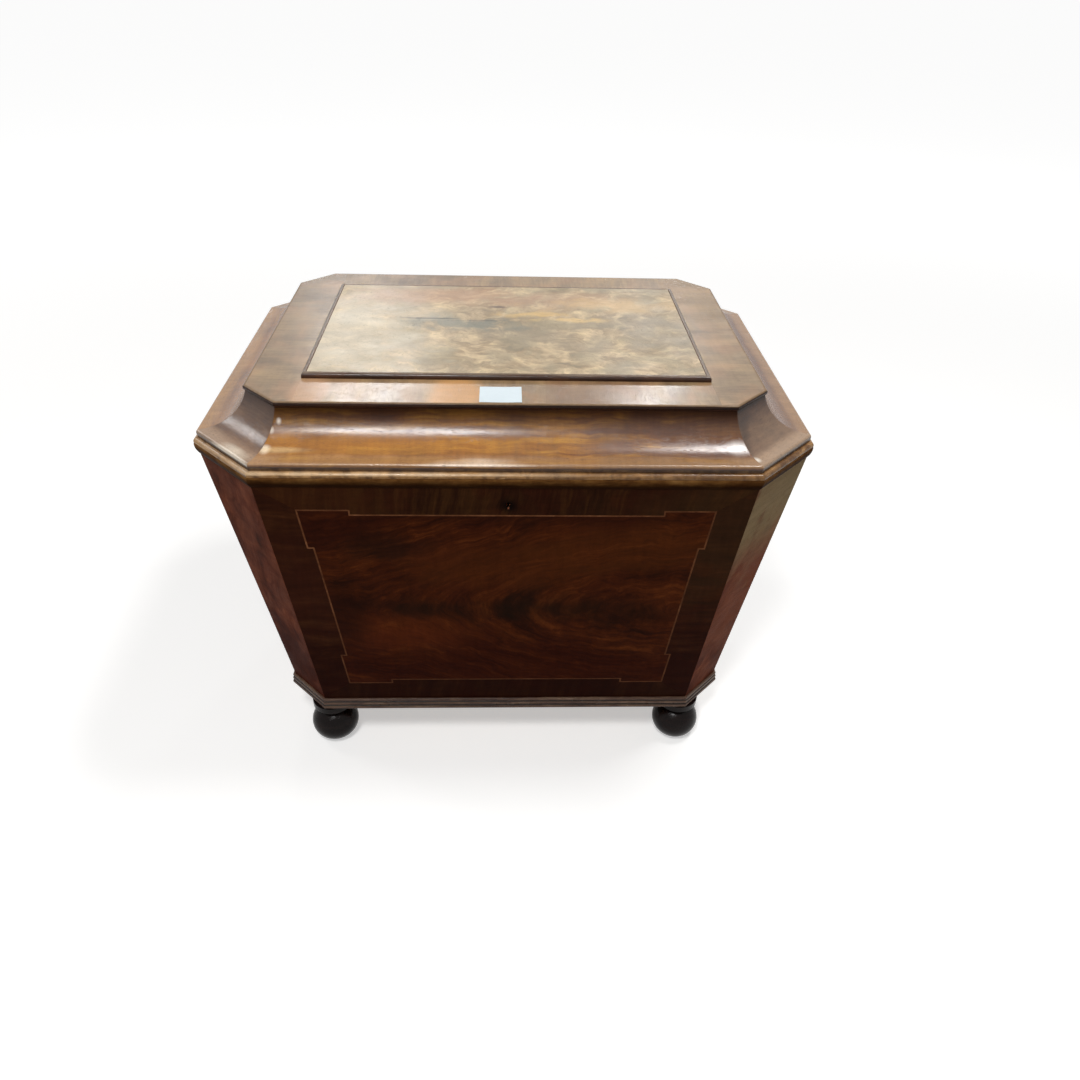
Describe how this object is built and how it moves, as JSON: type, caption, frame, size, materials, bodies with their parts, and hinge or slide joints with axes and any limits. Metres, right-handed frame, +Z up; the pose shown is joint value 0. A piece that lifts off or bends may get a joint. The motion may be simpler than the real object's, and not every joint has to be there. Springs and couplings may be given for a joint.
{
  "type": "cellarette",
  "caption": "Sarcophagus wine cellarette: tapering veneered chest with canted corners on bun feet, coved hinged lid, box lock and zinc-lined well.",
  "frame": {"origin": "on the floor, under the middle of the chest", "axes": "+X to the right along the front, +Y from the front to the hinged back, +Z up"},
  "size_m": [0.71, 0.5442, 0.5319],
  "materials": {
    "mahogany": "french polished",
    "flame_mahogany": "french polished",
    "crossbanding": "french polished",
    "dark_mahogany": "turned and polished",
    "boxwood": "french polished",
    "pine": "bare",
    "brass": "aged",
    "steel": "aged",
    "zinc": "dull grey sheet",
    "paper": "blank"
  },
  "bodies": {
    "carcase": {"back_board": "mahogany", "base_moulding_back": "mahogany", "base_moulding_corners": "mahogany", "base_moulding_front": "mahogany", "base_moulding_left": "mahogany", "base_moulding_right": "mahogany", "bottom_board": "pine", "bun_foot_back_left": "dark_mahogany", "bun_foot_back_right": "dark_mahogany", "bun_foot_front_left": "dark_mahogany", "bun_foot_front_right": "dark_mahogany", "corner_post_back_left": "mahogany", "corner_post_back_right": "mahogany", "corner_post_front_left": "mahogany", "corner_post_front_right": "mahogany", "front_board": "mahogany", "front_crossbanding": "crossbanding", "front_flame_veneer": "flame_mahogany", "front_stringing": "boxwood", "hinge_leaf_carcase_left": "brass", "hinge_leaf_carcase_right": "brass", "hinge_pin_left": "brass", "hinge_pin_right": "brass", "hinge_screws_carcase": "brass", "left_board": "mahogany", "lock_case": "brass", "lock_screws": "brass", "right_board": "mahogany", "zinc_liner": "zinc"},
    "lid": {"hinge_leaf_lid_left": "brass", "hinge_leaf_lid_right": "brass", "hinge_screws_lid": "brass", "lid_cove_back": "mahogany", "lid_cove_corner_back_left": "mahogany", "lid_cove_corner_back_right": "mahogany", "lid_cove_corner_front_left": "mahogany", "lid_cove_corner_front_right": "mahogany", "lid_cove_front": "mahogany", "lid_cove_left": "mahogany", "lid_cove_right": "mahogany", "lid_rim_back": "mahogany", "lid_rim_corner_back_left": "mahogany", "lid_rim_corner_back_right": "mahogany", "lid_rim_corner_front_left": "mahogany", "lid_rim_corner_front_right": "mahogany", "lid_rim_front": "mahogany", "lid_rim_left": "mahogany", "lid_rim_right": "mahogany", "lid_top_board": "mahogany", "link_plate": "brass", "link_plate_screws": "brass", "link_staples": "brass", "panel_moulding_back": "mahogany", "panel_moulding_front": "mahogany", "panel_moulding_left": "mahogany", "panel_moulding_right": "mahogany", "paper_ticket": "paper", "raised_panel": "flame_mahogany", "top_crossbanding": "crossbanding"},
    "lock_bolt": {"lock_bolt": "steel"}
  },
  "joints": [
    {"name": "lid_hinge", "type": "hinge", "parent": "carcase", "child": "lid", "pos_m": [0, 0.2686, 0.4526], "axis": [-1, 0, 0], "range_deg": [0, 100]},
    {"name": "lock_bolt_slide", "type": "slide", "parent": "carcase", "child": "lock_bolt", "axis": [1, 0, 0], "range_m": [0, 0.007]}
  ]
}
